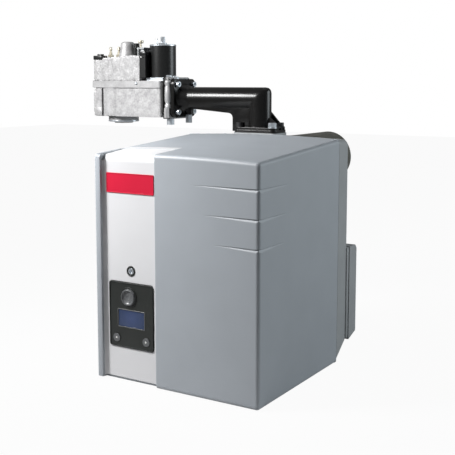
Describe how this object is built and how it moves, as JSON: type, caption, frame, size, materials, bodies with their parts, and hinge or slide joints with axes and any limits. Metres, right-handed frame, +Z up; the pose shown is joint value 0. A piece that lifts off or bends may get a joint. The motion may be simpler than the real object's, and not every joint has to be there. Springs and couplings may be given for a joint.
{
  "type": "forced-draught gas burner",
  "caption": "Compact industrial gas burner: grey hood with a light front panel and display, cast rear shell, burner tube, and a black gas elbow that carries the valve group.",
  "frame": {"origin": "middle of the boiler mounting face, on the axis of the burner tube", "axes": "+X to the right seen from the front, +Y along the burner tube into the boiler, +Z up"},
  "size_m": [0.5235, 0.568, 0.5568],
  "materials": {
    "hood_grey": "smooth satin moulding",
    "panel_white": "smooth white",
    "badge_red": "bare red plate",
    "zinc_steel": "zinc plated",
    "display_black": "fine matt black",
    "lcd_blue": "dark blue display glass",
    "key_grey": "dark key",
    "shell_grey": "painted casting",
    "seal_black": "sealing sheet",
    "tube_steel": "heat-proof steel",
    "gas_black": "gloss black enamel",
    "black_steel": "black screws",
    "cast_aluminium": "raw die casting",
    "valve_edge": "machined casting",
    "coil_black": "moulded coil",
    "brass": "turned brass",
    "motor_paint": "dark motor paint",
    "fan_steel": "galvanised",
    "box_plastic": "black moulding",
    "control_blue": "dark blue moulding",
    "dial_white": "white dial",
    "ceramic": "white ceramic"
  },
  "bodies": {
    "burner": {"joint_screws": "zinc_steel", "cover_screws": "zinc_steel", "gas_plugs": "zinc_steel", "coil_base": "zinc_steel", "equipment_plate": "zinc_steel", "display_bracket": "zinc_steel", "display_bezel": "display_black", "control_unit": "display_black", "lcd_window": "lcd_blue", "back_shell": "shell_grey", "boiler_flange": "shell_grey", "air_box": "shell_grey", "flange_gasket": "seal_black", "foot_gasket": "seal_black", "adapter_seal": "seal_black", "burner_tube": "tube_steel", "gas_elbow": "gas_black", "foot_screws": "black_steel", "gas_adapter": "cast_aluminium", "valve_body": "cast_aluminium", "valve_head": "cast_aluminium", "bottom_cover": "cast_aluminium", "inlet_flange": "cast_aluminium", "scroll_housing": "cast_aluminium", "scroll_cover": "cast_aluminium", "damper_body": "cast_aluminium", "valve_plate": "valve_edge", "regulator_dome": "valve_edge", "gas_block": "valve_edge", "coil": "coil_black", "coil_terminal": "coil_black", "regulator_cap": "coil_black", "valve_connector": "coil_black", "test_nipples": "brass", "motor_body": "motor_paint", "head_chamber": "fan_steel", "suction_box": "box_plastic", "servo_box": "box_plastic", "air_grille": "box_plastic", "ignition_transformer": "box_plastic", "connection_socket": "box_plastic", "burner_control": "control_blue"},
    "hood_cover": {"hood": "hood_grey", "front_panel": "panel_white", "badge_plate": "badge_red", "hood_screw": "zinc_steel"},
    "fan_rotor": {"motor_shaft": "zinc_steel", "fan_wheel": "fan_steel"},
    "air_damper": {"air_flap": "zinc_steel", "servo_dial": "dial_white"},
    "reset_key": {"reset_button": "key_grey"},
    "key_left": {"left_key": "key_grey"},
    "key_right": {"right_key": "key_grey"},
    "mixing_head": {"gas_lance": "tube_steel", "nozzle_head": "tube_steel", "flame_disc": "tube_steel", "electrodes": "ceramic", "rod_clamps": "tube_steel"},
    "setting_spindle": {"head_spindle": "zinc_steel"},
    "valve_adjuster": {"flow_adjuster": "zinc_steel"}
  },
  "joints": [
    {"name": "hood_pull", "type": "slide", "parent": "burner", "child": "hood_cover", "axis": [0, -1, 0], "range_m": [0, 0.36]},
    {"name": "fan_spin", "type": "hinge", "parent": "burner", "child": "fan_rotor", "pos_m": [0, -0.152, -0.195], "axis": [1, 0, 0], "continuous": true},
    {"name": "flap_turn", "type": "hinge", "parent": "burner", "child": "air_damper", "pos_m": [0.1, -0.06, -0.21], "axis": [0, 0, 1], "range_deg": [0, 90]},
    {"name": "reset_press", "type": "slide", "parent": "burner", "child": "reset_key", "axis": [0, 1, 0], "range_m": [0, 0.0025], "stiffness_N_per_m": 500, "springref_m": -0.001},
    {"name": "left_press", "type": "slide", "parent": "burner", "child": "key_left", "axis": [0, 1, 0], "range_m": [0, 0.001], "stiffness_N_per_m": 500, "springref_m": -0.0005},
    {"name": "right_press", "type": "slide", "parent": "burner", "child": "key_right", "axis": [0, 1, 0], "range_m": [0, 0.001], "stiffness_N_per_m": 500, "springref_m": -0.0005},
    {"name": "spindle_turn", "type": "hinge", "parent": "burner", "child": "setting_spindle", "pos_m": [0, -0.1, 0], "axis": [0, 1, 0], "range_deg": [-902, 0]},
    {"name": "head_slide", "type": "slide", "parent": "burner", "child": "mixing_head", "axis": [0, 1, 0], "range_m": [-0.01, 0]},
    {"name": "adjuster_turn", "type": "hinge", "parent": "burner", "child": "valve_adjuster", "pos_m": [-0.213, -0.058, 0.225], "axis": [0, 0, 1], "range_deg": [0, 270]}
  ],
  "couplings": [
    {"joint": "spindle_turn", "follows": "head_slide", "rad_per_m": 1570.8}
  ]
}
